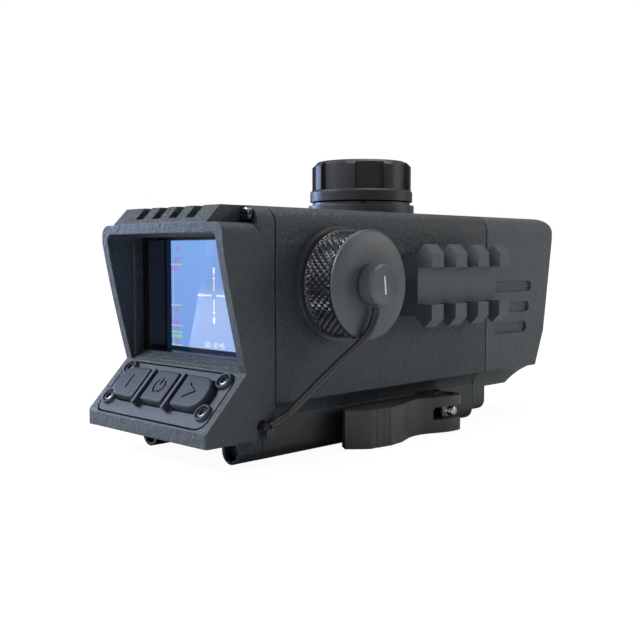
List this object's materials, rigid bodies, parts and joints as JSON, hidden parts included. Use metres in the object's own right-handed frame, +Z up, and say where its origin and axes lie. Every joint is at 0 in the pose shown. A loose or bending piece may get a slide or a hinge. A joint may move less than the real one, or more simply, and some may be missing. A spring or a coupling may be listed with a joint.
{
  "type": "digital sighting scope",
  "caption": "Compact digital sighting scope: hooded rear screen, sloped key panel, turret knob, side accessory rail, tethered battery cap and quick-release rail clamp.",
  "frame": {"origin": "on the flat seat of the rail clamp, which rests on the top of the rail it clamps", "axes": "+Y points forward, away from the screen; +Z up; +X towards the battery cap and the lever"},
  "size_m": [0.0624, 0.1376, 0.0736],
  "materials": {
    "housing_polymer": "sand-blasted, dark blue grey",
    "front_polymer": "sand-blasted, grey",
    "black_polymer": "fine matt",
    "rail_anodised": "bead-blasted, dark anodised",
    "clamp_anodised": "black anodised",
    "keypad_metal": "satin blue grey",
    "key_rubber": "matt silicone",
    "seal_rubber": "matt",
    "bezel_gloss": "gloss black",
    "screen_glass": "coated",
    "screen": "lit display",
    "lens_glass": "coated",
    "steel": "blackened or plain",
    "brass": "plain",
    "circuit_board": "solder mask",
    "cell_sleeve": "sleeve",
    "tether_cord": "satin black"
  },
  "bodies": {
    "scope": {"rear_housing": "housing_polymer", "main_housing": "housing_polymer", "front_housing": "front_polymer", "rear_gasket": "seal_rubber", "front_gasket": "seal_rubber", "side_rail": "rail_anodised", "rail_screws": "steel", "display_bezel": "bezel_gloss", "display_window": "screen_glass", "display_panel": "screen", "keypad_plate": "keypad_metal", "keypad_board": "circuit_board", "key_switches": "black_polymer", "keypad_screws": "steel", "rear_upper_screws": "steel", "rear_lower_screws": "steel", "front_screws": "steel", "battery_collar": "clamp_anodised", "battery_tube": "rail_anodised", "battery_cell": "cell_sleeve", "tether": "tether_cord", "tether_anchor": "tether_cord", "turret_base": "clamp_anodised", "turret_o_ring": "seal_rubber", "turret_encoder": "black_polymer", "main_board": "circuit_board", "sensor_board": "circuit_board", "image_sensor": "bezel_gloss", "lens_barrel": "black_polymer", "objective_lens": "lens_glass", "rear_lens": "lens_glass", "lens_retainer": "clamp_anodised", "mount_base": "clamp_anodised", "base_screws": "steel", "jaw_guide_pin": "steel", "cross_bolt": "steel", "clamp_nut": "steel", "barrel_nut": "steel"},
    "knob": {"turret_knob": "black_polymer", "turret_shaft": "steel", "turret_screw": "steel"},
    "lever": {"qr_lever": "clamp_anodised"},
    "jaw": {"clamp_jaw": "clamp_anodised"},
    "left_key": {"key_left": "key_rubber"},
    "power_key": {"key_power": "key_rubber"},
    "right_key": {"key_right": "key_rubber"},
    "swivel": {"tether_swivel": "black_polymer"},
    "cap": {"battery_cap": "rail_anodised", "cap_o_ring": "seal_rubber", "battery_contact": "brass"}
  },
  "joints": [
    {"name": "knob_turn", "type": "hinge", "parent": "scope", "child": "knob", "pos_m": [0, 0.0132, 0.06], "axis": [0, 0, 1], "continuous": true},
    {"name": "lever_swing", "type": "hinge", "parent": "scope", "child": "lever", "pos_m": [0.0236, 0.0213, 0], "axis": [0, 0, 1], "range_deg": [0, 90]},
    {"name": "jaw_slide", "type": "slide", "parent": "scope", "child": "jaw", "axis": [1, 0, 0], "range_m": [0, 0.0015]},
    {"name": "left_key_press", "type": "slide", "parent": "scope", "child": "left_key", "axis": [0, 0.722, -0.6919], "range_m": [0, 0.0007], "stiffness_N_per_m": 300, "springref_m": -0.001},
    {"name": "power_key_press", "type": "slide", "parent": "scope", "child": "power_key", "axis": [0, 0.722, -0.6919], "range_m": [0, 0.0007], "stiffness_N_per_m": 300, "springref_m": -0.001},
    {"name": "right_key_press", "type": "slide", "parent": "scope", "child": "right_key", "axis": [0, 0.722, -0.6919], "range_m": [0, 0.0007], "stiffness_N_per_m": 300, "springref_m": -0.001},
    {"name": "cap_slide", "type": "slide", "parent": "scope", "child": "swivel", "axis": [1, 0, 0], "range_m": [0, 0.003], "deforming": ["tether"]},
    {"name": "cap_turn", "type": "hinge", "parent": "swivel", "child": "cap", "pos_m": [0.034, -0.0216, 0.03495], "axis": [1, 0, 0], "range_deg": [0, 1080]}
  ],
  "couplings": [
    {"joint": "jaw_slide", "follows": "lever_swing", "m_per_rad": 0.00095493},
    {"joint": "cap_slide", "follows": "cap_turn", "m_per_rad": 0.00015915}
  ]
}
